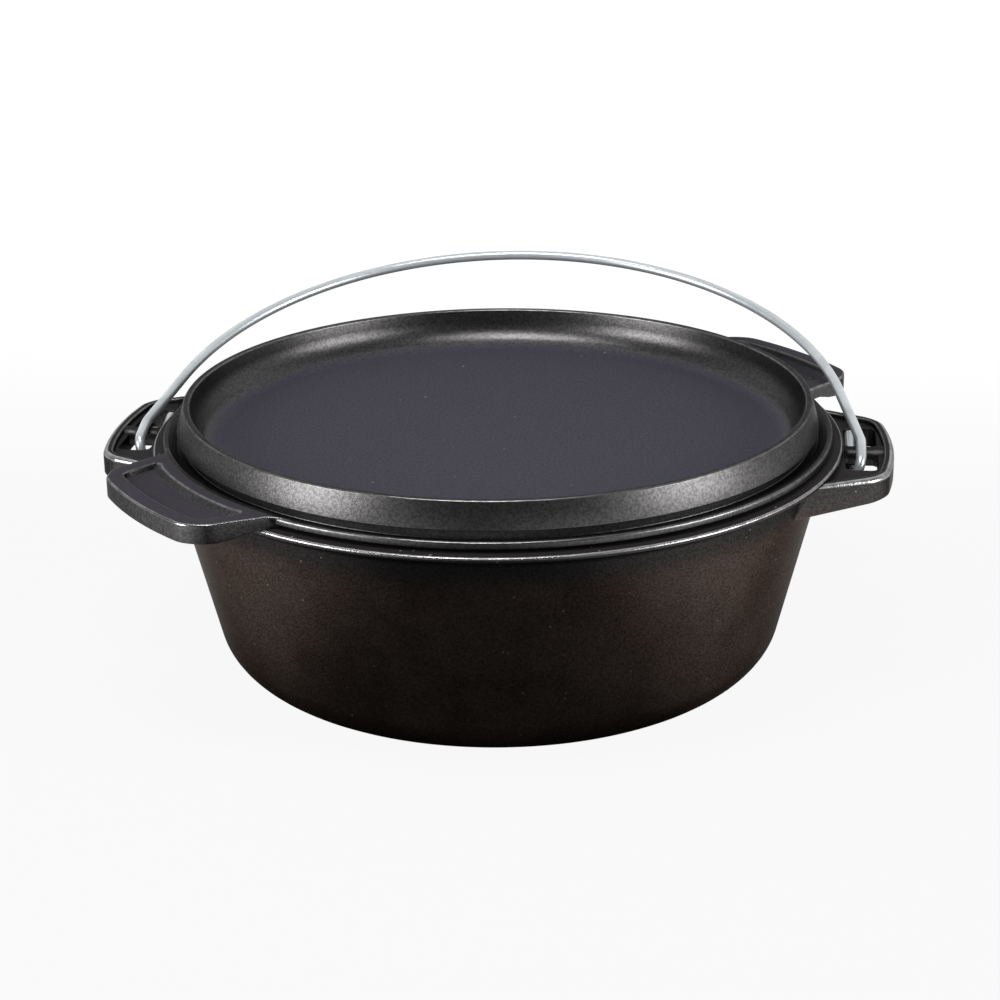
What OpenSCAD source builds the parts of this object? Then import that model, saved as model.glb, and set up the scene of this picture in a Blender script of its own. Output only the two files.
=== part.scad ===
// Camp dutch oven: a flat-bottomed cast-iron pot with two slotted lugs, a pan-shaped lid
// with two lugs of its own, and a wire bail hooked round a bar in each lug of the pot.
// Millimetres. The origin is the centre of the pot's base, +Z is up, the bail turns about X.

/* [Pot] */
// Height from the table to the top of the rim
pot_h = 108.5; // [70:0.5:200]
// Radius at which the line of the wall meets the table
base_r = 129.6; // [80:0.1:220]
// Lean of the wall from upright, in degrees
wall_lean = 13.8; // [4:0.1:20]
// Radius of the round between base and wall, outside
base_round = 25; // [10:0.5:40]
// Thickness of the wall, measured level
wall_t = 5; // [3:0.1:8]
// Thickness of the floor
floor_t = 6; // [4:0.1:10]
// How far the lip stands out past the line of the wall at the rim
lip_out = 5.4; // [3:0.1:9]
// Height of the lip
lip_h = 4.4; // [3:0.1:9]
// Radius of the round on the lip's edges
lip_round = 1.6; // [0.4:0.1:2]
// Radius of the hollow under the lip
lip_blend = 5; // [1:0.1:8]

/* [Pot lugs] */
// How far the top of a lug lies below the rim
lug_drop = 2; // [0.6:0.1:6]
// Thickness of a lug
lug_t = 12.5; // [11:0.1:20]
// Half the width of a lug across its outer corners
lug_half_w = 42; // [38:0.5:60]
// Angle by which a lug's sides spread towards the pot, in degrees
lug_flare = 36.5; // [20:0.5:45]
// Radius of a lug's outer corners in plan
lug_corner = 12; // [8:0.5:18]
// Radius of the hollow where a lug's sides meet the lip
lug_root = 10; // [4:0.5:16]
// Radius of the round on a lug's outer edges
lug_edge = 1.8; // [0.4:0.1:3]
// Width of the raised border
lug_border = 4.6; // [3:0.1:6]
// Depth of the sunk floor inside the border
lug_sink = 2.5; // [1:0.1:4]
// Gap between the lip and the sunk floor
sink_in = 0.3; // [0.2:0.1:0.6]
// Iron between the slot and the outside of the lug
lug_rail = 7.6; // [6.8:0.1:12]
// Length of the slot behind the bar, from the bar's middle
slot_half = 33; // [28:0.5:36]
// Length of the slot in front of the bar, from the bar's middle
slot_front = 27; // [25:0.5:33]
// Width of the slot, across the rim
slot_w = 15.2; // [13:0.1:20]
// Radius of the slot's corners
slot_corner = 4; // [2:0.1:6]
// Iron left between the lid's flange and the slot
slot_land = 5.6; // [5.2:0.1:9]
// Diameter of the bar that crosses the slot
bar_d = 9; // [7:0.1:10]
// How far the top of the bar lies below the top of the lug
bar_drop = 0.5; // [0:0.1:2]

/* [Lid] */
// Height of the lid's rim above its seat
lid_h = 19.6; // [14:0.1:40]
// Ledge of the pot's lip left bare outside the lid's flange
ledge = 4.9; // [2:0.1:8]
// Thickness of the flange
flange_t = 5; // [3:0.1:8]
// Width of the flange outside the foot of the wall
flange_w = 6.4; // [4:0.1:10]
// Radius of the round on the flange's edge
flange_round = 1.1; // [0.3:0.1:1.4]
// Height of the groove between flange and wall
groove_h = 2.4; // [1:0.1:4]
// Depth of that groove under the foot of the wall
groove_d = 1.6; // [0.6:0.1:3]
// Lean of the lid's wall from upright, in degrees
lid_lean = 16; // [4:0.5:25]
// Width of the rim's top
lid_land = 3.2; // [2.4:0.1:6]
// Radius of the round on the rim's edges
land_round = 0.9; // [0.3:0.1:1.1]
// Depth of the pan in the lid
pan_depth = 18.2; // [10:0.1:19]
// Lean of the pan's wall from upright, in degrees
pan_lean = 5; // [2:0.5:20]
// Radius of the round between the pan's floor and its wall
pan_round = 14; // [5:0.5:15]
// Thickness of the lid's floor
lid_floor = 4.8; // [4.2:0.1:9]
// Play between the lid's plug and the mouth of the pot
lid_play = 1.5; // [0.6:0.1:4]

/* [Lid lugs] */
// Turn of the lid's lugs from the pot's lugs, in degrees
lid_turn = 40.7; // [38:0.1:90]
// How far a lid lug reaches past the flange
tab_reach = 32.2; // [20:0.1:45]
// Half the width of a lid lug across its outer corners
tab_half_w = 43; // [36:0.5:55]
// Angle by which a lid lug's sides spread towards the lid, in degrees
tab_flare = 12; // [4:0.5:25]
// Radius of a lid lug's outer corners in plan
tab_corner = 13; // [11:0.5:20]
// Radius of the hollow where a lid lug meets the flange
tab_root = 8; // [3:0.5:14]
// Height of a lid lug above the flange
tab_rise = 1; // [0.6:0.1:3]
// How far the outer part of a lid lug hangs below the seat
tab_hang = 2.8; // [1:0.1:4]
// Gap between the pot's lip and the hanging part of a lid lug
tab_gap = 4.4; // [3.6:0.1:8]
// Width of the raised border of a lid lug
tab_border = 8.2; // [5:0.1:10]
// Depth of the sunk pocket in a lid lug
tab_sink = 2.6; // [1:0.1:4]
// How far the pocket runs in past the hanging part
pocket_in = 1.4; // [0:0.1:3]
// How far a lid lug runs in over the flange
tab_in = 2.6; // [1.6:0.1:4]
// Radius of the round on a lid lug's outer edges
tab_edge = 1.8; // [0.4:0.1:3]

/* [Bail] */
// Diameter of the wire
wire_d = 4.8; // [3:0.1:5.4]
// How much narrower the arch is than the hooks, each side
arch_in = 5.6; // [2:0.1:12]
// Height of the arch's centre above the hinge
arch_up = 9; // [4:0.5:40]
// Radius of the bend between leg and hook
leg_bend = 16; // [8:0.5:30]
// Distance from the bar's middle to the start of the hook's turn
hook_drop = 10; // [4:0.5:16]
// Sideways step between the leg and the tail of the hook
tail_step = 4.2; // [0:0.1:4.4]
// Clearance between the hook and the bar
hook_play = 0.4; // [0.2:0.1:1.5]
// Clearance between the tail of the hook and the slot
tail_play = 0.8; // [0.5:0.1:2]
// Clearance between the end of the tail and the end of the slot
tail_end = 2; // [1:0.1:6]
// Lean of the resting bail from upright, towards the back, in degrees
bail_lean = 75.5; // [65:0.5:76]

/* [Hidden] */
$fn = 144;
// How far the ball that closes a joint of the wire stands proud of it
joint_over = 0.02;
// How far a rounding circle bites into the lines that it meets
bite = 0.003;

// Pot
slope = tan(wall_lean);
wall_top_r = base_r + pot_h * slope;
mouth_r = wall_top_r - wall_t;
lip_r = wall_top_r + lip_out;
room_round = base_round - wall_t * cos(wall_lean);
room_base_r = base_r - wall_t + floor_t * slope;
lug_top = pot_h - lug_drop;

// Lid, heights counted from its seat
flange_r = lip_r - ledge;
wall_foot_r = flange_r - flange_w;
wall_foot_z = flange_t + groove_h;
lid_rim_r = wall_foot_r - (lid_h - wall_foot_z) * tan(lid_lean);
pan_r = lid_rim_r - lid_land;
pan_floor_z = lid_h - pan_depth;
pan_base_r = pan_r - pan_depth * tan(pan_lean);
plug_r = mouth_r - lid_play;
plug_z = pan_floor_z - lid_floor;
tab_r = flange_r + tab_reach;
tab_top = flange_t + tab_rise;
hang_r = lip_r + tab_gap;

// Slots and bar
slot_in = flange_r + slot_land;
slot_out = slot_in + slot_w;
lug_r = slot_out + lug_rail;
hinge_z = lug_top - bar_drop - bar_d / 2;

// Bail, in its own upright frame with the hinge at the origin
wire_r = wire_d / 2;
tail_x = slot_in + tail_play + wire_r;
leg_x = tail_x + tail_step;
hook_n = bar_d / 2 + hook_play + wire_r;
hook_r = sqrt(hook_n * hook_n + tail_step * tail_step / 4);
hook_twist = atan2(tail_step / 2, hook_n);
arch_r = leg_x - arch_in;
bend_x = leg_x - leg_bend;
leg_tilt = acos((arch_r - leg_bend) / norm([bend_x, arch_up])) - atan2(arch_up, bend_x);
leg_len = bend_x * sin(leg_tilt) + arch_up * cos(leg_tilt);
tail_up = (slot_half - tail_end - (hook_n + wire_r) * cos(bail_lean)) / sin(bail_lean);

// What a round takes off a corner: the part of the sector from angle a0 to a1 outside the circle
module corner_cut(c, r, a0, a1) {
    am = (a0 + a1) / 2;
    difference() {
        polygon([c, c + 3 * r * [cos(a0), sin(a0)], c + 5 * r * [cos(am), sin(am)],
            c + 3 * r * [cos(a1), sin(a1)]]);
        translate(c) circle(r + bite);
    }
}

// Plan of a lug on the +X side: an outer arc, two spreading sides and rounded corners.
// inset draws the same plan moved inwards all round.
module lug_plan(r, half_w, flare, corner, root, rim, inner, inset = 0) {
    n = [sin(flare), cos(flare)];
    d = [sqrt(r * r - half_w * half_w), half_w] * n;
    bc = 90 - flare - acos((d - corner) / (r - corner));
    c = (r - corner) * [cos(bc), sin(bc)];
    x0 = inner * 0.8;
    x1 = r + 1;
    y0 = (d - inset - x0 * n[0]) / n[1];
    y1 = (d - inset - x1 * n[0]) / n[1];
    br = 90 - flare - acos((d + root) / (rim + root));
    f = (rim + root) * [cos(br), sin(br)];
    ft = f - root * n;
    fr = rim * [cos(br), sin(br)];
    fi = (inner - 1) * [cos(br), sin(br)];
    difference() {
        union() {
            difference() {
                intersection() {
                    circle(r - inset);
                    polygon([[x0, -y0], [x1, -y1], [x1, y1], [x0, y0]]);
                }
                for (m = [0, 1]) mirror([0, m])
                    corner_cut(c, corner - inset, bc, 90 - flare);
            }
            if (inset == 0)
                for (m = [0, 1]) mirror([0, m])
                    difference() {
                        polygon([ft, fr, fi]);
                        translate(f) circle(root + bite);
                    }
        }
        circle(inner);
    }
}

// Slot with rounded corners across both sides of the bar
module slot_plan() {
    c = slot_corner;
    difference() {
        translate([slot_in, -slot_front]) square([slot_w, slot_front + slot_half]);
        corner_cut([slot_out - c, slot_half - c], c, 0, 90);
        corner_cut([slot_in + c, slot_half - c], c, 90, 180);
        corner_cut([slot_in + c, c - slot_front], c, 180, 270);
        corner_cut([slot_out - c, c - slot_front], c, 270, 360);
    }
}

// Half section of a bowl: flat floor, round corner and leaning wall
module bowl(r, lean, low, high, corner) {
    foot = r - corner * tan((90 - lean) / 2);
    difference() {
        polygon([[0, low], [r, low], [r + (high - low) * tan(lean), high], [0, high]]);
        corner_cut([foot, low + corner], corner, -90, -lean);
    }
}

// Half section of a flat ring with both outer edges rounded
module plate(inner, outer, low, high, edge) {
    difference() {
        translate([inner, low]) square([outer - inner, high - low]);
        corner_cut([outer - edge, low + edge], edge, -90, 0);
        corner_cut([outer - edge, high - edge], edge, 0, 90);
    }
}

// Outside of the pot as a half section: bowl, lip and the hollow under the lip
module pot_section() {
    lip_low = pot_h - lip_h;
    wall_r = base_r + lip_low * slope;
    hollow_r = wall_r + lip_blend * (1 - sin(wall_lean)) / cos(wall_lean);
    hollow_z = lip_low - lip_blend;
    bowl(base_r, wall_lean, 0, pot_h, base_round);
    plate(mouth_r - 1, lip_r, lip_low, pot_h, lip_round);
    difference() {
        polygon([[wall_r - 1, lip_low + 1], [hollow_r, lip_low + 1], [hollow_r, lip_low],
            [hollow_r - lip_blend * cos(wall_lean), hollow_z + lip_blend * sin(wall_lean)],
            [wall_r - 1 - lip_blend * slope, hollow_z]]);
        translate([hollow_r, hollow_z]) circle(lip_blend + bite);
    }
}

module pot_lug() {
    difference() {
        intersection() {
            translate([0, 0, lug_top - lug_t]) linear_extrude(lug_t)
                lug_plan(lug_r, lug_half_w, lug_flare, lug_corner, lug_root, lip_r, mouth_r);
            rotate_extrude() plate(mouth_r - 1, lug_r, lug_top - lug_t, lug_top, lug_edge);
        }
        translate([0, 0, lug_top - lug_sink]) linear_extrude(lug_sink + 1)
            lug_plan(lug_r, lug_half_w, lug_flare, lug_corner, lug_root, lip_r, lip_r + sink_in, lug_border);
    }
}

module pot() {
    color([0.15, 0.14, 0.135]) {
        difference() {
            union() {
                rotate_extrude() pot_section();
                for (a = [0, 180]) rotate(a) pot_lug();
            }
            rotate_extrude() bowl(room_base_r, wall_lean, floor_t, pot_h + 1, room_round);
            for (m = [0, 1]) mirror([m, 0])
                translate([0, 0, lug_top - lug_t - 1]) linear_extrude(lug_t + lug_drop + 2) slot_plan();
        }
        for (a = [0, 180]) rotate(a)
            translate([slot_in - 1, 0, hinge_z]) rotate([0, 90, 0])
                cylinder(d = bar_d, h = lug_r - lug_border + 2 - slot_in);
    }
}

// Lid as a half section: flange, groove, leaning wall, rim, pan and plug
module lid_section() {
    difference() {
        union() {
            plate(0, flange_r, 0, flange_t, flange_round);
            square([wall_foot_r - groove_d, wall_foot_z + 1]);
            difference() {
                polygon([[0, wall_foot_z], [wall_foot_r, wall_foot_z], [lid_rim_r, lid_h], [0, lid_h]]);
                corner_cut([lid_rim_r - land_round * tan((90 - lid_lean) / 2), lid_h - land_round],
                    land_round, lid_lean, 90);
            }
            polygon([[0, 0], [plug_r, 0], [plug_r + plug_z, plug_z], [0, plug_z]]);
        }
        bowl(pan_base_r, pan_lean, pan_floor_z, lid_h + 1, pan_round);
        corner_cut([pan_r + land_round * tan((90 - pan_lean) / 2), lid_h - land_round],
            land_round, 90, 180 - pan_lean);
    }
}

// Plan of a lid lug, from the radius inner outwards
module tab_plan(inner, inset = 0) {
    lug_plan(tab_r, tab_half_w, tab_flare, tab_corner, tab_root, flange_r, inner, inset);
}

module lid_lug() {
    difference() {
        intersection() {
            union() {
                linear_extrude(tab_top) tab_plan(flange_r - tab_in);
                translate([0, 0, -tab_hang]) linear_extrude(tab_hang + 1) tab_plan(hang_r);
            }
            rotate_extrude() plate(wall_foot_r, tab_r, -tab_hang, tab_top, tab_edge);
        }
        translate([0, 0, tab_top - tab_sink]) linear_extrude(tab_sink + 1)
            tab_plan(hang_r - pocket_in, tab_border);
    }
}

module lid() {
    color([0.2, 0.2, 0.21])
        translate([0, 0, pot_h]) {
            rotate_extrude() lid_section();
            for (a = [0, 180]) rotate(lid_turn + a) lid_lug();
        }
}

// A bend of wire that starts at the origin, upwards, and turns towards -X
module wire_bend(r, sweep) {
    translate([-r, 0, 0]) rotate([90, 0, 0])
        rotate_extrude(angle = sweep) translate([r, 0]) circle(wire_r);
}

// One half of the bail: the hook round the bar with its tail, a small bend, the leg and half of the arch.
// A ball closes the joint at each end of the small bend.
module bail_half() {
    translate([leg_x - tail_step / 2, 0, -hook_drop]) rotate(hook_twist - 90) {
        translate([hook_r, 0, hook_drop]) sphere(wire_r + joint_over);
        translate([hook_r, 0, 0]) cylinder(r = wire_r, h = hook_drop);
        translate([-hook_r, 0, 0]) cylinder(r = wire_r, h = hook_drop + tail_up);
        rotate([-90, 0, 0]) rotate_extrude(angle = 180) translate([hook_r, 0]) circle(wire_r);
    }
    translate([leg_x, -hook_n, 0]) {
        wire_bend(leg_bend, leg_tilt);
        translate([-leg_bend, 0, 0]) rotate([0, -leg_tilt, 0]) translate([leg_bend, 0, 0]) {
            sphere(wire_r + joint_over);
            cylinder(r = wire_r, h = leg_len);
            translate([0, 0, leg_len]) wire_bend(arch_r, 91 - leg_tilt);
        }
    }
}

module bail() {
    color([0.72, 0.74, 0.75])
        translate([0, 0, hinge_z]) rotate([-bail_lean, 0, 0])
            for (m = [0, 1]) mirror([m, 0, 0])
                intersection() {
                    bail_half();
                    translate([0, -lug_r, -lug_r]) cube([2 * lug_r, 2 * lug_r, 3 * lug_r]);
                }
}

pot();
lid();
bail();
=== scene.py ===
from math import acos, atan2, cos, pi, radians, sin, sqrt, tan

import bmesh
import bpy
from mathutils import Matrix, Vector


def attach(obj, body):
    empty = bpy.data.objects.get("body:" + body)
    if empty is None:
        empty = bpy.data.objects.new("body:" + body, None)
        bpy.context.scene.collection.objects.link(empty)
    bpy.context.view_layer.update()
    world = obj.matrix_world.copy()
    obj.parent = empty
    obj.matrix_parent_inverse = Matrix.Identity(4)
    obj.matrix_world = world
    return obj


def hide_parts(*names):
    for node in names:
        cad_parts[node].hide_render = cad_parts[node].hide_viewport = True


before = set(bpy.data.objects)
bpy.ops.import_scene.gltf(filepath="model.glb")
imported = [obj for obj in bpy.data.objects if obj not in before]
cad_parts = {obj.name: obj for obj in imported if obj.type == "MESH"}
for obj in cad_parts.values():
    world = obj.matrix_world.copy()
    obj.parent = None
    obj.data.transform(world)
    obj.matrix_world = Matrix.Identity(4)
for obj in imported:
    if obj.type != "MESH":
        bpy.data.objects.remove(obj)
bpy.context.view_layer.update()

mm = 0.001
scene = bpy.context.scene

# how finely the pieces are meshed, in millimetres, degrees and counts
meshing = dict(weld=0.00002, spinWeld=0.001, cut=0.0001, same=0.01, sharpAngle=35,
               cornerSegments=8, arcCuts=19)

# sizes shared by the pieces, in millimetres
rim = dict(z=108.5, outer=161.65, mouth=151.25, flange=156.75, hingeZ=101.5)


# mesh helpers

def newMesh():
    bm = bmesh.new()
    bm.verts.layers.float.new("edgeWearGlint")
    return bm


def makePiece(name, bm, material, body, node):
    bmesh.ops.remove_doubles(bm, verts=bm.verts, dist=meshing["weld"])
    bmesh.ops.recalc_face_normals(bm, faces=bm.faces)
    # pieces are drawn in millimetres
    bm.transform(Matrix.Scale(mm, 4))
    mesh = bpy.data.meshes.new(name)
    bm.to_mesh(mesh)
    bm.free()
    mesh.polygons.foreach_set("use_smooth", [True] * len(mesh.polygons))
    mesh.set_sharp_from_angle(angle=radians(meshing["sharpAngle"]))
    piece = bpy.data.objects.new(name, mesh)
    scene.collection.objects.link(piece)
    mesh.materials.append(material)
    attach(piece, body)
    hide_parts(node)
    print(name, len(mesh.polygons), "faces")


# marks how much wear and painted highlight the round at each vertex gets
def markWearGlint(bm, verts, wearGlint):
    layer = bm.verts.layers.float["edgeWearGlint"]
    for v in verts:
        v[layer] = max(v[layer], wearGlint)


def cornerAngle(vert):
    a, b = [e.other_vert(vert).co - vert.co for e in vert.link_edges]
    return a.angle(b)


def roundCorner(bm, vert, radius, segments, wearGlint=0):
    # offset along the two edges that gives an arc of this radius
    offset = radius / tan(cornerAngle(vert) / 2)
    made = bmesh.ops.bevel(bm, geom=[vert], offset=offset, offset_type="OFFSET", segments=segments,
                           profile=0.5, affect="VERTICES", material=-1, clamp_overlap=True)
    # the two ends of the arc belong to the flats beside it
    arc = set(made["verts"])
    markWearGlint(bm, [v for v in arc if all(e.other_vert(v) in arc for e in v.link_edges)], wearGlint)


def softenEdges(bm, edges, width, segments, wearGlint=0):
    made = bmesh.ops.bevel(bm, geom=edges, offset=width, offset_type="OFFSET", segments=segments,
                           profile=0.5, affect="EDGES", material=-1, clamp_overlap=True)
    if wearGlint:
        # only the middle of the round gets the wear and painted highlight, its two borders do not
        bevelled = set(made["faces"])
        inner = {v for v in made["verts"] if v.is_valid and all(f in bevelled for f in v.link_faces)}
        markWearGlint(bm, inner, wearGlint)


def spunProfile(corners, steps, axis="Z"):
    # corners are (radius, height) or (radius, height, round, segments, wear with painted highlight), turned
    # about the axis
    bm = newMesh()
    verts = [bm.verts.new((c[0], 0, c[1]) if axis == "Z" else (c[1], 0, c[0])) for c in corners]
    for a, b in zip(verts, verts[1:]):
        bm.edges.new((a, b))
    for vert, corner in zip(verts, corners):
        if corner[2:]:
            roundCorner(bm, vert, *corner[2:])
    bmesh.ops.spin(bm, geom=bm.verts[:] + bm.edges[:], cent=(0, 0, 0), dvec=(0, 0, 0),
                   axis=(0, 0, 1) if axis == "Z" else (1, 0, 0), angle=2 * pi, steps=steps, use_merge=True)
    bmesh.ops.remove_doubles(bm, verts=bm.verts, dist=meshing["spinWeld"])
    return bm


def joinMeshes(*parts):
    whole = newMesh()
    for part in parts:
        mesh = bpy.data.meshes.new("join")
        part.to_mesh(mesh)
        part.free()
        whole.from_mesh(mesh)
        bpy.data.meshes.remove(mesh)
    return whole


def turnedCopy(bm, angle):
    copy = bm.copy()
    bmesh.ops.rotate(copy, verts=copy.verts, cent=(0, 0, 0), matrix=Matrix.Rotation(angle, 3, "Z"))
    return copy


def wireVerts(edges):
    return {v for e in edges for v in e.verts}


def closedWire(bm, points, rounds):
    verts = [bm.verts.new(p) for p in points]
    before = set(bm.edges)
    for a, b in zip(verts, verts[1:] + verts[:1]):
        bm.edges.new((a, b))
    for vert, radius in zip(verts, rounds):
        if radius:
            roundCorner(bm, vert, radius, meshing["cornerSegments"])
    return [e for e in bm.edges if e not in before]


def layOnCircle(bm, edges, radius, test):
    # cuts up the long straight edge that passes the test and bends it onto a circle
    edge = max((e for e in edges if test(e)), key=lambda e: e.calc_length())
    made = bmesh.ops.subdivide_edges(bm, edges=[edge], cuts=meshing["arcCuts"])
    for v in {v for v in made["geom_inner"] if isinstance(v, bmesh.types.BMVert)}:
        v.co.x = sqrt(radius ** 2 - v.co.y ** 2)


def dropWire(bm, edges, drop, draft):
    # walls straight down from a closed wire, drawn in a little by the draft
    made = bmesh.ops.extrude_edge_only(bm, edges=edges)
    verts = [v for v in made["geom"] if isinstance(v, bmesh.types.BMVert)]
    low = [e for e in made["geom"] if isinstance(e, bmesh.types.BMEdge)]
    middle = sum((v.co for v in verts), Vector()) / len(verts)
    span = [max(abs(v.co[i] - middle[i]) for v in verts) for i in (0, 1)]
    bmesh.ops.scale(bm, verts=verts, vec=(1 - draft / span[0], 1 - draft / span[1], 1),
                    space=Matrix.Translation(-middle))
    bmesh.ops.translate(bm, verts=verts, vec=(0, 0, -drop))
    return low


# lugs, which pot and lid share

# least corner round, how far a root runs along its rim, bands that tell outer and inner edge apart, and trims
lugPlan = dict(leastCorner=3, rootSpread=1.3, outerBand=1, innerBand=6, wallSunk=0.5, cutMargin=0.1,
               pocketBand=1.5, slotFlare=0.2, leastHang=0.02, hangMargin=1)
# segments and wear with painted highlight of the outer rounds; width, segments and wear with painted
# highlight of the others
lugRounds = dict(under=(5, 0.35), top=(6, 1.0), slot=(0.8, 3), pocketRim=(0.9, 3, 0.45), pocketFloor=(0.7, 3))
# height of a face's normal where it counts as flat, as underside, as side or as leaning down
tilts = dict(flat=0.9, under=0.8, side=0.6, leaning=0.5)


def lugWire(bm, d, z, inset=0, rimR=0, root=0, inner=0):
    # closed plan of a lug on the +X side; with a root it flows into a rim, else it ends on the inner circle
    flare = radians(d["flare"])
    out = Vector((cos(flare), -sin(flare)))
    normal = Vector((sin(flare), cos(flare)))
    corner = Vector((sqrt(d["reach"] ** 2 - d["halfWidth"] ** 2), d["halfWidth"]))
    distance = corner.dot(normal) - inset
    reach = d["reach"] - inset

    def onSide(radius):
        return normal * distance + out * sqrt(radius ** 2 - distance ** 2)

    side = [(onSide(reach), max(d["corner"] - inset, lugPlan["leastCorner"]))]
    if root:
        cross = onSide(rimR)
        past = atan2(cross.y, cross.x) + lugPlan["rootSpread"] * root / rimR
        end = Vector((cos(past), sin(past)))
        side += [(cross, root), (end * (rimR - d["dive"]), 0), (end * inner, 0)]
    else:
        side += [(onSide(inner), d["pocketCorner"])]
    points = [(p.x, p.y, z) for p, _ in side] + [(p.x, -p.y, z) for p, _ in reversed(side)]
    rounds = [r for _, r in side] + [r for _, r in reversed(side)]
    before = set(bm.edges)
    edges = closedWire(bm, points, rounds)
    straightX = side[0][0].x

    def across(e):
        return abs(e.verts[0].co.x - e.verts[1].co.x) < meshing["same"]

    layOnCircle(bm, edges, reach, lambda e: across(e) and e.verts[0].co.x > straightX - lugPlan["outerBand"])
    edges = [e for e in bm.edges if e not in before]
    layOnCircle(bm, edges, inner, lambda e: across(e) and e.verts[0].co.x < straightX - lugPlan["innerBand"])
    edges = [e for e in bm.edges if e not in before]
    # the rounded corners follow the outer circle too
    for v in wireVerts(edges):
        share = (v.co.x - straightX + d["corner"]) / d["corner"]
        if 0 < share and v.co.xy.length < reach - meshing["same"]:
            v.co.x += min(1, share) * (sqrt(reach ** 2 - min(v.co.y ** 2, reach ** 2)) - straightX)
    return edges


def dropToRoot(edges, d):
    # the underside drops a little toward the root
    for v in wireVerts(edges):
        v.co.z -= d["underSlope"] * (d["reach"] - v.co.x)


def openFace(bm, up):
    # takes out the largest flat face that looks up, or down with -1, and gives its edges
    face = max((f for f in bm.faces if up * f.normal.z > tilts["flat"]), key=lambda f: f.calc_area())
    edges = list(face.edges)
    bmesh.ops.delete(bm, geom=[face], context="FACES_ONLY")
    return edges


def underEdges(bm, beyond):
    # edges between the underside and the sides, farther out than the given radius
    def onEdge(e):
        slopes = sorted(f.normal.z for f in e.link_faces)
        return len(slopes) == 2 and slopes[0] < -tilts["under"] and slopes[1] > -tilts["side"]
    return [e for e in bm.edges if onEdge(e) and min(v.co.xy.length for v in e.verts) > beyond]


def hangOuter(bm, d):
    # the outer part hangs lower than the seat
    for degrees in d["hangTurns"]:
        facing = Vector((cos(radians(degrees)), sin(radians(degrees)), 0))
        below = [f for f in bm.faces if f.normal.z < -tilts["leaning"]]
        edges = {e for f in below for e in f.edges}
        bmesh.ops.bisect_plane(bm, geom=list(wireVerts(edges)) + list(edges) + below, dist=meshing["cut"],
                               plane_co=facing * d["hangFrom"], plane_no=facing)
    under = [f for f in bm.faces
             if f.normal.z < -tilts["flat"] and f.calc_center_median().xy.length > d["hangFrom"]]
    made = bmesh.ops.extrude_face_region(bm, geom=under)
    for v in made["geom"]:
        if isinstance(v, bmesh.types.BMVert):
            share = (v.co.xy.length - d["hangFrom"]) / d["hangOver"]
            v.co.z -= d["hang"] * min(1, max(lugPlan["leastHang"], share))
    bm.normal_update()


def drawIntoWall(bm, d):
    # past the root the sides are drawn into the wall below the lip
    for z in d["rootCuts"]:
        bmesh.ops.bisect_plane(bm, geom=list(bm.verts) + list(bm.edges) + list(bm.faces),
                               dist=meshing["cut"], plane_co=(0, 0, z), plane_no=(0, 0, 1))
    top = d["rootCuts"][0] + lugPlan["cutMargin"]
    for v in bm.verts:
        wallR = d["wallFoot"] + v.co.z * d["wallTilt"] - lugPlan["wallSunk"]
        away = (atan2(abs(v.co.y), v.co.x) * wallR - d["rootFrom"]) / d["rootOver"]
        if v.co.z < top and v.co.xy.length > wallR and away > 0:
            v.co.xy *= 1 - min(1, away) * (1 - wallR / v.co.xy.length)
    bm.normal_update()


def cutSlot(bm, d, pocketFloor):
    # long slot through the sunk floor, which the bar crosses
    floorZ = d["top"] - d["sink"]
    plan = [(d["slotIn"], -d["slotFront"]), (d["slotOut"], -d["slotFront"]),
            (d["slotOut"], d["slotBack"]), (d["slotIn"], d["slotBack"])]
    slotRim = closedWire(bm, [(x, y, floorZ) for x, y in plan], [d["slotCorner"]] * len(plan))
    bmesh.ops.triangle_fill(bm, edges=pocketFloor + slotRim, use_beauty=True)
    slotFoot = dropWire(bm, slotRim, floorZ - d["bottom"], -lugPlan["slotFlare"])
    dropToRoot(slotFoot, d)
    bmesh.ops.triangle_fill(bm, edges=openFace(bm, -1) + slotFoot, use_beauty=True)
    softenEdges(bm, slotRim + slotFoot, *lugRounds["slot"])


def lugPlate(d):
    # one lug on the +X side: top plan and bottom plan bridged, rounded, then sunk and slotted
    bm = newMesh()
    topWire = lugWire(bm, d, d["top"], rimR=d["rim"], root=d["root"], inner=d["inner"])
    lowWire = lugWire(bm, d, d["bottom"], rimR=d["lowRim"], root=d["lowRoot"], inner=d["lowInner"])
    dropToRoot(lowWire, d)
    bmesh.ops.bridge_loops(bm, edges=topWire + lowWire)
    bmesh.ops.edgeloop_fill(bm, edges=topWire)
    bmesh.ops.edgeloop_fill(bm, edges=lowWire)
    bmesh.ops.recalc_face_normals(bm, faces=bm.faces)
    if d.get("hang"):
        hangOuter(bm, d)
    lowEdges = underEdges(bm, d.get("hangFrom", 0) + lugPlan["hangMargin"])
    softenEdges(bm, lowEdges, d["edge"], *lugRounds["under"])
    topEdges = [e for e in bm.edges if all(abs(v.co.z - d["top"]) < meshing["same"] for v in e.verts)]
    softenEdges(bm, topEdges, d["topEdge"], *lugRounds["top"])
    if d.get("wallTilt"):
        drawIntoWall(bm, d)

    roofLoop = openFace(bm, 1)
    pocketRim = lugWire(bm, d, d["top"], inset=d["border"], inner=d["pocketIn"])
    bmesh.ops.triangle_fill(bm, edges=roofLoop + pocketRim, use_beauty=True)
    pocketFloor = dropWire(bm, pocketRim, d["sink"], d["draft"])
    for v in wireVerts(pocketFloor):
        if v.co.xy.length < d["pocketIn"] + lugPlan["pocketBand"]:
            v.co.xy *= (d["pocketIn"] + d["pocketSlope"]) / v.co.xy.length
    if d.get("slotBack"):
        cutSlot(bm, d, pocketFloor)
    else:
        bmesh.ops.edgeloop_fill(bm, edges=pocketFloor)
    softenEdges(bm, [e for e in pocketRim if e.is_valid], *lugRounds["pocketRim"])
    softenEdges(bm, [e for e in pocketFloor if e.is_valid], *lugRounds["pocketFloor"])
    bmesh.ops.recalc_face_normals(bm, faces=bm.faces)
    return bm


# shader helpers

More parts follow.
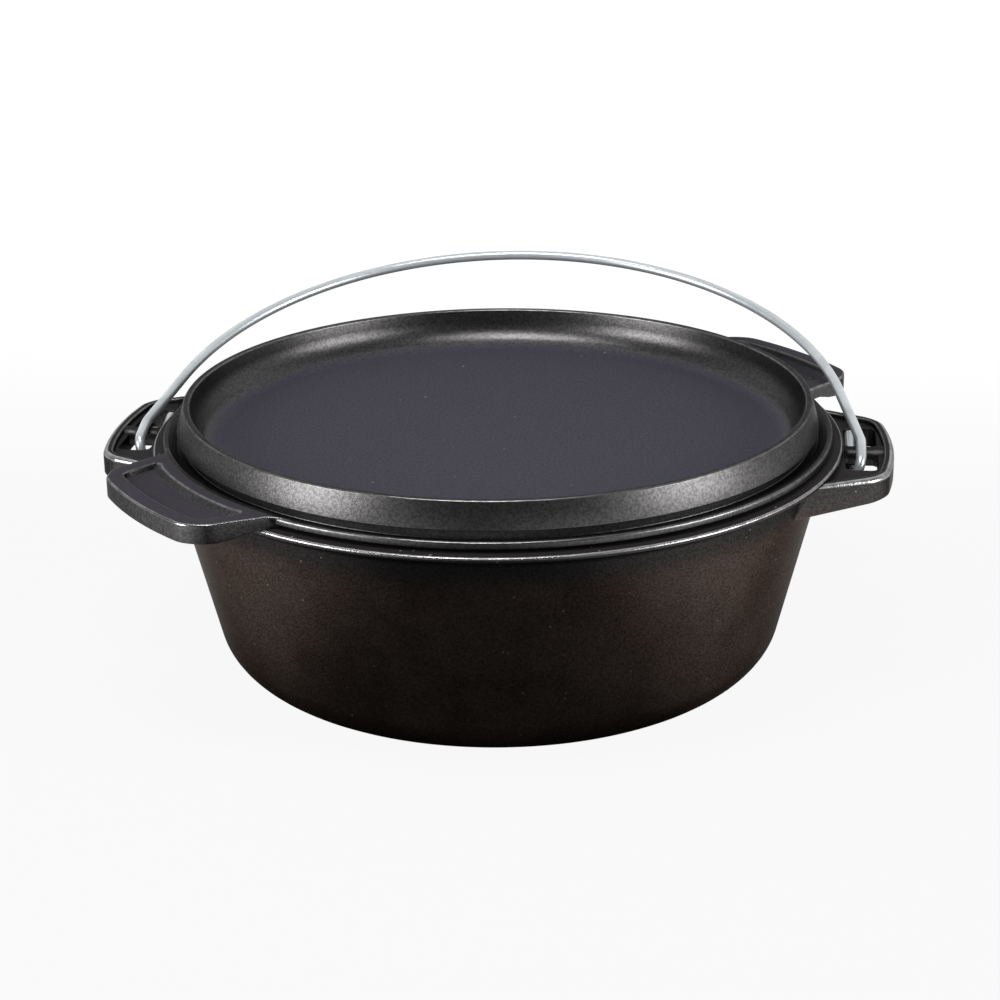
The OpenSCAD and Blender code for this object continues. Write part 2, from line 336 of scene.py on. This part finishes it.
def newGroup(name, inputs, outputs):
    # a group takes a place on the surface and some values, and puts out values
    group = bpy.data.node_groups.new(name, "ShaderNodeTree")
    group.interface.new_socket("Vector", in_out="INPUT", socket_type="NodeSocketVector")
    for label, value in inputs.items():
        group.interface.new_socket(label, in_out="INPUT", socket_type="NodeSocketFloat").default_value = value
    for label in outputs:
        group.interface.new_socket(label, in_out="OUTPUT", socket_type="NodeSocketFloat")
    return group, group.nodes.new("NodeGroupInput"), group.nodes.new("NodeGroupOutput")


def feed(tree, socket, value):
    # a number is set on the socket, anything else is linked to it
    if isinstance(value, (int, float)):
        socket.default_value = value
    else:
        tree.links.new(value, socket)


def placeGroup(tree, group, **values):
    node = tree.nodes.new("ShaderNodeGroup")
    node.node_tree = group
    for label, value in values.items():
        feed(tree, node.inputs[label], value)
    return node.outputs


def mathNode(tree, operation, a, b=None, c=None, clamp=False):
    node = tree.nodes.new("ShaderNodeMath")
    node.operation = operation
    node.use_clamp = clamp
    for socket, value in zip(node.inputs, (a, b, c)):
        if value is not None:
            feed(tree, socket, value)
    return node.outputs[0]


def splitNode(tree, vector):
    node = tree.nodes.new("ShaderNodeSeparateXYZ")
    tree.links.new(vector, node.inputs["Vector"])
    return node.outputs


def lengthNode(tree, vector, axes=(1, 1, 1)):
    # length of a vector along the given axes
    along = tree.nodes.new("ShaderNodeVectorMath")
    along.operation = "MULTIPLY"
    tree.links.new(vector, along.inputs[0])
    along.inputs[1].default_value = axes
    node = tree.nodes.new("ShaderNodeVectorMath")
    node.operation = "LENGTH"
    tree.links.new(along.outputs["Vector"], node.inputs[0])
    return node.outputs["Value"]


def noiseNode(tree, vector, scale, detail, roughness=0.5):
    node = tree.nodes.new("ShaderNodeTexNoise")
    tree.links.new(vector, node.inputs["Vector"])
    feed(tree, node.inputs["Scale"], scale)
    node.inputs["Detail"].default_value = detail
    node.inputs["Roughness"].default_value = roughness
    return node.outputs["Fac"]


def rampNode(tree, value, low, high, toLow=0.0, toHigh=1.0):
    node = tree.nodes.new("ShaderNodeMapRange")
    node.interpolation_type = "SMOOTHSTEP"
    tree.links.new(value, node.inputs["Value"])
    for label, v in (("From Min", low), ("From Max", high), ("To Min", toLow), ("To Max", toHigh)):
        node.inputs[label].default_value = v
    return node.outputs["Result"]


def mixColour(tree, factor, a, b):
    node = tree.nodes.new("ShaderNodeMix")
    node.data_type = "RGBA"
    tree.links.new(factor, node.inputs["Factor"])
    for label, value in (("A", a), ("B", b)):
        socket = [i for i in node.inputs if i.name == label and i.type == "RGBA"][0]
        if isinstance(value, tuple):
            socket.default_value = (*value, 1)
        else:
            tree.links.new(value, socket)
    return [o for o in node.outputs if o.type == "RGBA"][0]


def startMaterial(name):
    material = bpy.data.materials.new(name)
    material.use_nodes = True
    tree = material.node_tree
    where = tree.nodes.new("ShaderNodeTexCoord").outputs["Object"]
    return material, tree, tree.nodes["Principled BSDF"], where


def bumpInto(tree, shader, height, strength, distance):
    bump = tree.nodes.new("ShaderNodeBump")
    bump.inputs["Strength"].default_value = strength
    bump.inputs["Distance"].default_value = distance
    tree.links.new(height, bump.inputs["Height"])
    tree.links.new(bump.outputs["Normal"], shader.inputs["Normal"])


# effects that the castings share

# sand cast skin: fine grains, the pits between them and wider unevenness
skin = dict(detail=3.0, rough=0.65, pits=(0.36, 0.62), cloudScale=16.0, cloudDetail=4.0, cloudRough=0.6,
            clouds=(0.32, 0.68))
castSkin, gIn, gOut = newGroup("castSkin", dict(Grain=900.0), ["Height", "Pits", "Cloud"])
fine = noiseNode(castSkin, gIn.outputs["Vector"], gIn.outputs["Grain"], skin["detail"], skin["rough"])
cloud = noiseNode(castSkin, gIn.outputs["Vector"], skin["cloudScale"], skin["cloudDetail"],
                  skin["cloudRough"])
castSkin.links.new(fine, gOut.inputs["Height"])
castSkin.links.new(rampNode(castSkin, fine, *skin["pits"], 1.0, 0.0), gOut.inputs["Pits"])
castSkin.links.new(rampNode(castSkin, cloud, *skin["clouds"]), gOut.inputs["Cloud"])

# pale dust specks of uneven size, in a share of the cells
speckSize = dict(least=0.04, spread=0.07)
dustSpecks, gIn, gOut = newGroup("dustSpecks", dict(Spread=160.0, Share=0.05), ["Mask"])
cells = dustSpecks.nodes.new("ShaderNodeTexVoronoi")
dustSpecks.links.new(gIn.outputs["Vector"], cells.inputs["Vector"])
dustSpecks.links.new(gIn.outputs["Spread"], cells.inputs["Scale"])
pick = dustSpecks.nodes.new("ShaderNodeSeparateColor")
dustSpecks.links.new(cells.outputs["Color"], pick.inputs["Color"])
chosen = mathNode(dustSpecks, "LESS_THAN", pick.outputs["Red"], gIn.outputs["Share"])
size = mathNode(dustSpecks, "MULTIPLY_ADD", pick.outputs["Green"], speckSize["spread"], speckSize["least"])
spot = mathNode(dustSpecks, "LESS_THAN", cells.outputs["Distance"], size)
dustSpecks.links.new(mathNode(dustSpecks, "MULTIPLY", chosen, spot), gOut.inputs["Mask"])

# rubbed edges with a painted highlight along them, where the rounds were marked when they were cut
rubBreaks = dict(scale=220.0, detail=4.0, rough=0.6, between=(0.36, 0.58))
edgeRubGlint, gIn, gOut = newGroup("edgeRubGlint", dict(Broken=0.5), ["Mask"])
marked = edgeRubGlint.nodes.new("ShaderNodeAttribute")
marked.attribute_name = "edgeWearGlint"
patches = noiseNode(edgeRubGlint, gIn.outputs["Vector"], rubBreaks["scale"], rubBreaks["detail"],
                    rubBreaks["rough"])
gaps = mathNode(edgeRubGlint, "SUBTRACT", 1.0, rampNode(edgeRubGlint, patches, *rubBreaks["between"]))
keep = mathNode(edgeRubGlint, "SUBTRACT", 1.0, mathNode(edgeRubGlint, "MULTIPLY", gIn.outputs["Broken"], gaps))
edgeRubGlint.links.new(mathNode(edgeRubGlint, "MULTIPLY", marked.outputs["Fac"], keep), gOut.inputs["Mask"])

# how level a face is to get the lighter skin with painted top light, how far pits darken and how much
# smoother worn iron is
ironShare = dict(level=(0.75, 0.98), pits=0.55, wornSmooth=-0.2)


def castIron(name, look):
    material, tree, shader, where = startMaterial(name)
    skinOut = placeGroup(tree, castSkin, Vector=where, Grain=look["grain"])
    rubGlint = placeGroup(tree, edgeRubGlint, Vector=where, Broken=look["rubBroken"])
    specks = placeGroup(tree, dustSpecks, Vector=where, Spread=look["speckSpread"], Share=look["speckShare"])
    colour = mixColour(tree, skinOut["Cloud"], look["dark"], look["light"])
    rough = rampNode(tree, skinOut["Cloud"], 0, 1, *look["rough"])
    if look.get("upper"):
        # the brown bloom stays below the rim and the lugs
        high = rampNode(tree, splitNode(tree, where)["Z"], *look["upperFrom"])
        colour = mixColour(tree, high, colour, look["upper"])
    # level faces get a lighter bluish matte skin, partly the dry skin and partly painted top light; the walls
    # are rubbed smoother
    normal = tree.nodes.new("ShaderNodeNewGeometry").outputs["Normal"]
    level = rampNode(tree, splitNode(tree, normal)["Z"], *ironShare["level"])
    radius = lengthNode(tree, where, (1, 1, 0))
    # the band from the rim land out to the flange is kept out of that lighter skin, so the gutter stays
    # painted dark as in shade
    if look.get("bandIn"):
        onBand = mathNode(tree, "MULTIPLY", rampNode(tree, radius, *look["bandIn"]),
                          rampNode(tree, radius, *look["bandOut"], 1.0, 0.0))
        level = mathNode(tree, "MULTIPLY", level, mathNode(tree, "SUBTRACT", 1.0, onBand))
    flat = mixColour(tree, rampNode(tree, radius, *look["flatFrom"]), look["flat"], look["lugFlat"])
    colour = mixColour(tree, level, colour, flat)
    rough = mathNode(tree, "MULTIPLY_ADD", level, look["flatRough"], rough)
    metal = mathNode(tree, "MULTIPLY_ADD", level, -look["metal"], look["metal"])
    pitted = mathNode(tree, "MULTIPLY", skinOut["Pits"], ironShare["pits"])
    colour = mixColour(tree, pitted, colour, look["pit"])
    # rubbed edges get a lighter colour and a metal gleam: wear, and a painted highlight along the edges
    wornGlint = mathNode(tree, "MULTIPLY", rubGlint["Mask"], look["rubGlint"])
    colour = mixColour(tree, wornGlint, colour, look["rubGlintColour"])
    rough = mathNode(tree, "MULTIPLY_ADD", wornGlint, ironShare["wornSmooth"], rough)
    metal = mathNode(tree, "MULTIPLY_ADD", wornGlint, look["gleam"], metal, clamp=True)
    colour = mixColour(tree, specks["Mask"], colour, look["speck"])
    tree.links.new(colour, shader.inputs["Base Color"])
    tree.links.new(metal, shader.inputs["Metallic"])
    tree.links.new(rough, shader.inputs["Roughness"])
    shader.inputs["Specular IOR Level"].default_value = look["specular"]
    shader.inputs["Specular Tint"].default_value = (*(look["edge"],) * 3, 1)
    bumpInto(tree, shader, skinOut["Height"], look["bump"], look["bumpDepth"])
    return material


# pot

potLook = dict(
    dark=(0.070, 0.052, 0.044), light=(0.096, 0.074, 0.064), pit=(0.015, 0.011, 0.009),
    upper=(0.050, 0.048, 0.048), upperFrom=(0.086, 0.099),
    metal=0.95, rough=(0.36, 0.43), specular=0.2, edge=0.35, grain=900, bump=0.5, bumpDepth=0.0003,
    rubGlint=0.85, rubGlintColour=(0.45, 0.45, 0.45), rubBroken=0.4, gleam=0.9,
    speck=(0.22, 0.18, 0.15), speckSpread=170, speckShare=0.5,
    flat=(0.014, 0.0132, 0.0138), lugFlat=(0.014, 0.0130, 0.0145), flatFrom=(0.150, 0.157), flatRough=0.4)
potIron = castIron("potIron", potLook)

potBowl = dict(baseR=129.6, lean=13.8, baseRound=25, wall=5, floor=6, lipLow=105.9, lipRound=1.1,
               mouthRound=1.0, hollow=6, steps=192)
slope = tan(radians(potBowl["lean"]))
roomRound = potBowl["baseRound"] - potBowl["wall"] * cos(radians(potBowl["lean"]))
bowl = spunProfile([
    (0, 0),
    (potBowl["baseR"], 0, potBowl["baseRound"], 14),
    (potBowl["baseR"] + potBowl["lipLow"] * slope, potBowl["lipLow"], potBowl["hollow"], 6),
    (rim["outer"], potBowl["lipLow"], potBowl["lipRound"], 4, 0.2),
    (rim["outer"], rim["z"], potBowl["lipRound"], 6, 0.75),
    (rim["mouth"], rim["z"], potBowl["mouthRound"], 4, 0.6),
    (potBowl["baseR"] - potBowl["wall"] + potBowl["floor"] * slope, potBowl["floor"], roomRound, 12),
    (0, potBowl["floor"]),
], potBowl["steps"])

potLug = dict(
    reach=185.15, halfWidth=42, flare=27, corner=13, edge=1.8, topEdge=2.3,
    top=106.5, rim=rim["outer"], root=10, inner=151.5, dive=1.2,
    bottom=96.1, lowRim=151, lowRoot=18, lowInner=149.6, underSlope=0.11,
    wallFoot=potBowl["baseR"], wallTilt=slope, rootCuts=(105.4, 103, 100, 97), rootFrom=49, rootOver=15,
    border=4.6, sink=2.5, draft=0.5, pocketIn=158, pocketSlope=0, pocketCorner=0,
    slotIn=162.35, slotOut=177.55, slotFront=27, slotBack=33, slotCorner=4)
potLugMesh = lugPlate(potLug)

# the bar swells where it leaves the slot's ends and is sunk into both
slotBar = dict(radius=4.5, endRadius=5.0, swell=1.6, swellRound=2, sunkIn=1.5, sunkCollar=1, sunkOut=4,
               steps=28)
barFrom = potLug["slotIn"] - slotBar["sunkIn"]
barTo = potLug["slotOut"] + slotBar["sunkOut"]
bar = spunProfile([
    (0, barFrom),
    (slotBar["endRadius"] + slotBar["sunkCollar"], barFrom),
    (slotBar["endRadius"], potLug["slotIn"]),
    (slotBar["radius"], potLug["slotIn"] + slotBar["swell"], slotBar["swellRound"], 3),
    (slotBar["radius"], potLug["slotOut"] - slotBar["swell"], slotBar["swellRound"], 3),
    (slotBar["endRadius"], potLug["slotOut"]),
    (slotBar["radius"], barTo),
    (0, barTo),
], slotBar["steps"], axis="X")
bmesh.ops.translate(bar, verts=bar.verts, vec=(0, 0, rim["hingeZ"]))
lugWithBar = joinMeshes(potLugMesh, bar)
otherLug = lugWithBar.copy()
bmesh.ops.scale(otherLug, verts=otherLug.verts, vec=(-1, 1, 1))
bmesh.ops.reverse_faces(otherLug, faces=otherLug.faces)
potMesh = joinMeshes(bowl, otherLug, lugWithBar)
makePiece("potCasting", potMesh, potIron, "pot", "pot")

# lid

lidLook = dict(
    dark=(0.088, 0.085, 0.086), light=(0.096, 0.093, 0.094), pit=(0.022, 0.0215, 0.022),
    metal=0.96, rough=(0.345, 0.365), specular=0.3, edge=0.35, grain=800, bump=0.35, bumpDepth=0.0002,
    rubGlint=0.7, rubGlintColour=(0.34, 0.34, 0.34), rubBroken=0.6, gleam=0.9,
    speck=(0.2, 0.19, 0.19), speckSpread=170, speckShare=0.05,
    flat=(0.049, 0.0475, 0.0640), lugFlat=(0.036, 0.033, 0.0420), flatFrom=(0.150, 0.157), flatRough=0.5,
    bandIn=(0.1435, 0.1445), bandOut=(0.1568, 0.1575))
lidIron = castIron("lidIron", lidLook)

lidPan = dict(
    seat=108.5, height=19.6, flangeT=5, flangeRound=1.1, edgeW=2.4, edgeRound=0.7, undercut=3.4,
    undercutH=2.0, gutter=2.5, grooveH=2.4, grooveD=3.4, grooveRound=0.6, sharpRound=0.5,
    footR=150.35, rimR=146.85,
    land=3.2, landRound=0.9, panDepth=18.2, panLean=5, panRound=14, floor=4.8, plugR=149.75, plugRound=1.0,
    steps=192)
z0 = lidPan["seat"]
lidTop = z0 + lidPan["height"]
flangeTop = z0 + lidPan["flangeT"]
panFloor = lidTop - lidPan["panDepth"]
plugZ = lidPan["height"] - lidPan["panDepth"] - lidPan["floor"]
panR = lidPan["rimR"] - lidPan["land"]
grooveR = lidPan["footR"] - lidPan["grooveD"]
lidMesh = spunProfile([
    (0, z0 + plugZ),
    (lidPan["plugR"] + plugZ, z0 + plugZ, lidPan["plugRound"], 3),
    (lidPan["plugR"], z0),
    (rim["flange"] - lidPan["undercut"], z0),
    (rim["flange"], z0 + lidPan["undercutH"], lidPan["sharpRound"], 3),
    (rim["flange"], flangeTop, lidPan["flangeRound"], 5, 0.45),
    (rim["flange"] - lidPan["edgeW"], flangeTop, lidPan["edgeRound"], 4),
    (lidPan["footR"], flangeTop - lidPan["gutter"], lidPan["grooveRound"], 3),
    (grooveR, flangeTop - lidPan["gutter"], lidPan["grooveRound"], 3),
    (grooveR, flangeTop + lidPan["grooveH"], lidPan["grooveRound"], 3),
    (lidPan["footR"], flangeTop + lidPan["grooveH"], lidPan["sharpRound"], 3, 0.3),
    (lidPan["rimR"], lidTop, lidPan["landRound"], 5, 0.5),
    (panR, lidTop, lidPan["landRound"], 5, 0.5),
    (panR - lidPan["panDepth"] * tan(radians(lidPan["panLean"])), panFloor, lidPan["panRound"], 10),
    (0, panFloor),
], lidPan["steps"])

lidLug = dict(
    reach=188.95, halfWidth=43, flare=12, corner=13, edge=1.8, topEdge=1.9, turn=40.7,
    top=z0 + 6, rim=rim["flange"], root=8, inner=154.15, dive=0.8,
    bottom=z0, lowRim=153.2, lowRoot=8, lowInner=151.6, underSlope=0,
    hangFrom=166.05, hang=2.8, hangOver=9, hangTurns=(-14, -7, 0, 7, 14),
    border=8.2, sink=2.6, draft=0.6, pocketIn=162.4, pocketSlope=2.6, pocketCorner=3,
    rootFrom=47, rootOver=10, rootDrop=1.0, rootAbove=2)
tab = lugPlate(lidLug)
turn = radians(lidLug["turn"])
# the top sinks into the flange at both ends of the root
for v in tab.verts:
    away = atan2(abs(v.co.y), v.co.x) * lidLug["rim"] - lidLug["rootFrom"]
    if v.co.z > z0 + lidLug["rootAbove"]:
        v.co.z -= lidLug["rootDrop"] * min(1, max(0, away / lidLug["rootOver"]))
lidMesh = joinMeshes(lidMesh, turnedCopy(tab, turn), turnedCopy(tab, turn + pi))
tab.free()
makePiece("lidCasting", lidMesh, lidIron, "lid", "lid")

# bail

# galvanised wire: drawn steel with a thin zinc skin, dull patches along it
wireLook = dict(
    bright=(0.58, 0.62, 0.64), dull=(0.48, 0.51, 0.53), metal=0.6, rough=(0.28, 0.4),
    patchScale=60.0, patchDetail=5.0, patchRough=0.62, patches=(0.34, 0.66),
    scratchScale=1500.0, scratchDetail=2.0, bump=0.12, bumpDepth=0.0001)
bailSteel, tree, shader, where = startMaterial("bailSteel")
patch = noiseNode(tree, where, wireLook["patchScale"], wireLook["patchDetail"], wireLook["patchRough"])
patch = rampNode(tree, patch, *wireLook["patches"])
scratch = noiseNode(tree, where, wireLook["scratchScale"], wireLook["scratchDetail"])
tree.links.new(mixColour(tree, patch, wireLook["bright"], wireLook["dull"]), shader.inputs["Base Color"])
tree.links.new(rampNode(tree, patch, 0, 1, *wireLook["rough"]), shader.inputs["Roughness"])
shader.inputs["Metallic"].default_value = wireLook["metal"]
bumpInto(tree, shader, scratch, wireLook["bump"], wireLook["bumpDepth"])

wire = dict(d=4.8, lean=75.5, hookN=7.3, hookDrop=10, tailX=165.55, legX=169.75, archIn=5.6, archUp=9,
            legBend=16, tailUp=29.5, sides=20, tailSteps=6, hookSteps=18, bendSteps=6, archSteps=60)
hookMid = (wire["legX"] + wire["tailX"]) / 2
hookR = sqrt(wire["hookN"] ** 2 + ((wire["legX"] - wire["tailX"]) / 2) ** 2)
archR = wire["legX"] - wire["archIn"]
bendX = wire["legX"] - wire["legBend"]
bendReach = sqrt(bendX ** 2 + wire["archUp"] ** 2)
legTilt = acos((archR - wire["legBend"]) / bendReach) - atan2(wire["archUp"], bendX)


def halfBail():
    # middle line of one half, from the cut tail to the top of the arch, upright with the hinge at the origin
    tailLength = wire["tailUp"] + wire["hookDrop"]
    points = [Vector((wire["tailX"], wire["hookN"], wire["tailUp"] - i * tailLength / wire["tailSteps"]))
              for i in range(wire["tailSteps"])]
    side = Vector((wire["legX"] - hookMid, -wire["hookN"], 0)).normalized()
    hookPlace = Vector((hookMid, 0, -wire["hookDrop"]))
    for i in range(wire["hookSteps"] + 1):
        a = pi - pi * i / wire["hookSteps"]
        points.append(hookPlace + side * (hookR * cos(a)) + Vector((0, 0, -hookR * sin(a))))
    for i in range(wire["bendSteps"] + 1):
        a = legTilt * i / wire["bendSteps"]
        points.append(Vector((bendX + wire["legBend"] * cos(a), -wire["hookN"], wire["legBend"] * sin(a))))
    for i in range(wire["archSteps"] + 1):
        a = legTilt + (pi / 2 - legTilt) * i / wire["archSteps"]
        points.append(Vector((archR * cos(a), -wire["hookN"], wire["archUp"] + archR * sin(a))))
    return points


half = halfBail()
path = half + [Vector((-p.x, p.y, p.z)) for p in reversed(half[:-1])]
lean = Matrix.Translation((0, 0, rim["hingeZ"])) @ Matrix.Rotation(-radians(wire["lean"]), 4, "X")
curve = bpy.data.curves.new("bailPath", "CURVE")
curve.dimensions = "3D"
spline = curve.splines.new("POLY")
spline.points.add(len(path) - 1)
for point, place in zip(spline.points, path):
    point.co = (*(lean @ place), 1)
curve.bevel_depth = wire["d"] / 2
curve.bevel_resolution = wire["sides"] // 4
curve.use_fill_caps = True
curveObject = bpy.data.objects.new("bailPath", curve)
scene.collection.objects.link(curveObject)
tube = bpy.data.meshes.new_from_object(curveObject.evaluated_get(bpy.context.evaluated_depsgraph_get()))
bailMesh = newMesh()
bailMesh.from_mesh(tube)
bpy.data.objects.remove(curveObject)
bpy.data.curves.remove(curve)
bpy.data.meshes.remove(tube)
makePiece("bailWire", bailMesh, bailSteel, "bail", "bail")

# stage, light and camera

# the ground shows white to the camera; to mirrored rays it glows behind and up to 1.4 times white beside the
# oven, a painted reflection for the iron's sides, and the photographer's side of the studio is dim
stage = dict(
    radius=6.0, segments=64, below=0.0002, near=(0.02, 0.02, 0.02), far=(0.3, 0.3, 0.3),
    seen=(0.92, 1.0), seenOver=(0.7, 2.2), dimSide=0.006, behindOver=(0.1, 1.2),
    sideGlow=1.4, sideOver=(0.08, 0.26), worldLight=0.16, worldOver=(-0.2, 0.7))
floorMesh = bmesh.new()
bmesh.ops.create_circle(floorMesh, cap_ends=True, segments=stage["segments"], radius=stage["radius"])
mesh = bpy.data.meshes.new("floor")
floorMesh.to_mesh(mesh)
floorMesh.free()
floor = bpy.data.objects.new("floor", mesh)
floor.location.z = -stage["below"]
scene.collection.objects.link(floor)


def seenRays(tree, mirrored):
    # rays that show the white ground: straight from the camera, or mirrored by the given share
    rays = tree.nodes.new("ShaderNodeLightPath")
    glossy = mathNode(tree, "MULTIPLY", rays.outputs["Is Glossy Ray"], mirrored)
    return mathNode(tree, "MAXIMUM", rays.outputs["Is Camera Ray"], glossy)


floorPaint, tree, shader, where = startMaterial("floorPaint")
mesh.materials.append(floorPaint)
shader.inputs["Roughness"].default_value = 1.0
shader.inputs["Specular IOR Level"].default_value = 0.0
shader.inputs["Emission Color"].default_value = (1, 1, 1, 1)
split = splitNode(tree, where)
behind = rampNode(tree, split["Y"], *stage["behindOver"], stage["dimSide"], 1.0)
tree.links.new(mixColour(tree, behind, stage["near"], stage["far"]), shader.inputs["Base Color"])
beside = rampNode(tree, mathNode(tree, "ABSOLUTE", split["X"]), *stage["sideOver"], 0.0, stage["sideGlow"])
white = rampNode(tree, lengthNode(tree, where), *stage["seenOver"], *stage["seen"])
seen = seenRays(tree, mathNode(tree, "MAXIMUM", behind, beside))
tree.links.new(mathNode(tree, "MULTIPLY", seen, white), shader.inputs["Emission Strength"])

world = bpy.data.worlds.new("studio")
scene.world = world
world.use_nodes = True
tree = world.node_tree
back = tree.nodes["Background"]
back.inputs["Color"].default_value = (1, 1, 1, 1)
towards = splitNode(tree, tree.nodes.new("ShaderNodeTexCoord").outputs["Generated"])
behind = rampNode(tree, towards["Y"], *stage["worldOver"], stage["dimSide"], 1.0)
glow = mathNode(tree, "MULTIPLY", behind, stage["worldLight"])
tree.links.new(mathNode(tree, "MAXIMUM", seenRays(tree, behind), glow), back.inputs["Strength"])

lampAim = Vector((0, 0, 0.1))
lamps = [
    dict(name="stripLeft", place=(-1.30, -0.85, 0.52), size=(0.7, 1.0), power=27),
    dict(name="stripRight", place=(1.55, -0.45, 0.52), size=(0.8, 1.0), power=25),
    dict(name="topBox", place=(-0.1, -0.45, 1.5), size=(0.7, 0.35), power=16),
]
for lamp in lamps:
    light = bpy.data.lights.new(lamp["name"], "AREA")
    light.shape = "RECTANGLE"
    light.size, light.size_y = lamp["size"]
    light.energy = lamp["power"]
    lightObject = bpy.data.objects.new(lamp["name"], light)
    lightObject.location = lamp["place"]
    lightObject.rotation_euler = (lampAim - Vector(lamp["place"])).to_track_quat("-Z", "Y").to_euler()
    scene.collection.objects.link(lightObject)

view = dict(place=(0.1234, -1.0447, 0.4633), look=(-0.1094, 0.9315, -0.3469), roll=-0.0106,
            lens=84.54, sensor=36)
ahead = Vector(view["look"]).normalized()
right = ahead.cross(Vector((0, 0, 1))).normalized()
up = right.cross(ahead)
across = right * cos(view["roll"]) + up * sin(view["roll"])
upward = up * cos(view["roll"]) - right * sin(view["roll"])
camera = bpy.data.cameras.new("photoView")
camera.lens = view["lens"]
camera.sensor_width = view["sensor"]
cameraObject = bpy.data.objects.new("photoView", camera)
cameraObject.matrix_world = Matrix((
    (across.x, upward.x, -ahead.x, view["place"][0]),
    (across.y, upward.y, -ahead.y, view["place"][1]),
    (across.z, upward.z, -ahead.z, view["place"][2]),
    (0, 0, 0, 1)))
scene.collection.objects.link(cameraObject)
scene.camera = cameraObject
scene.view_settings.view_transform = "Standard"
print("stage and camera set")
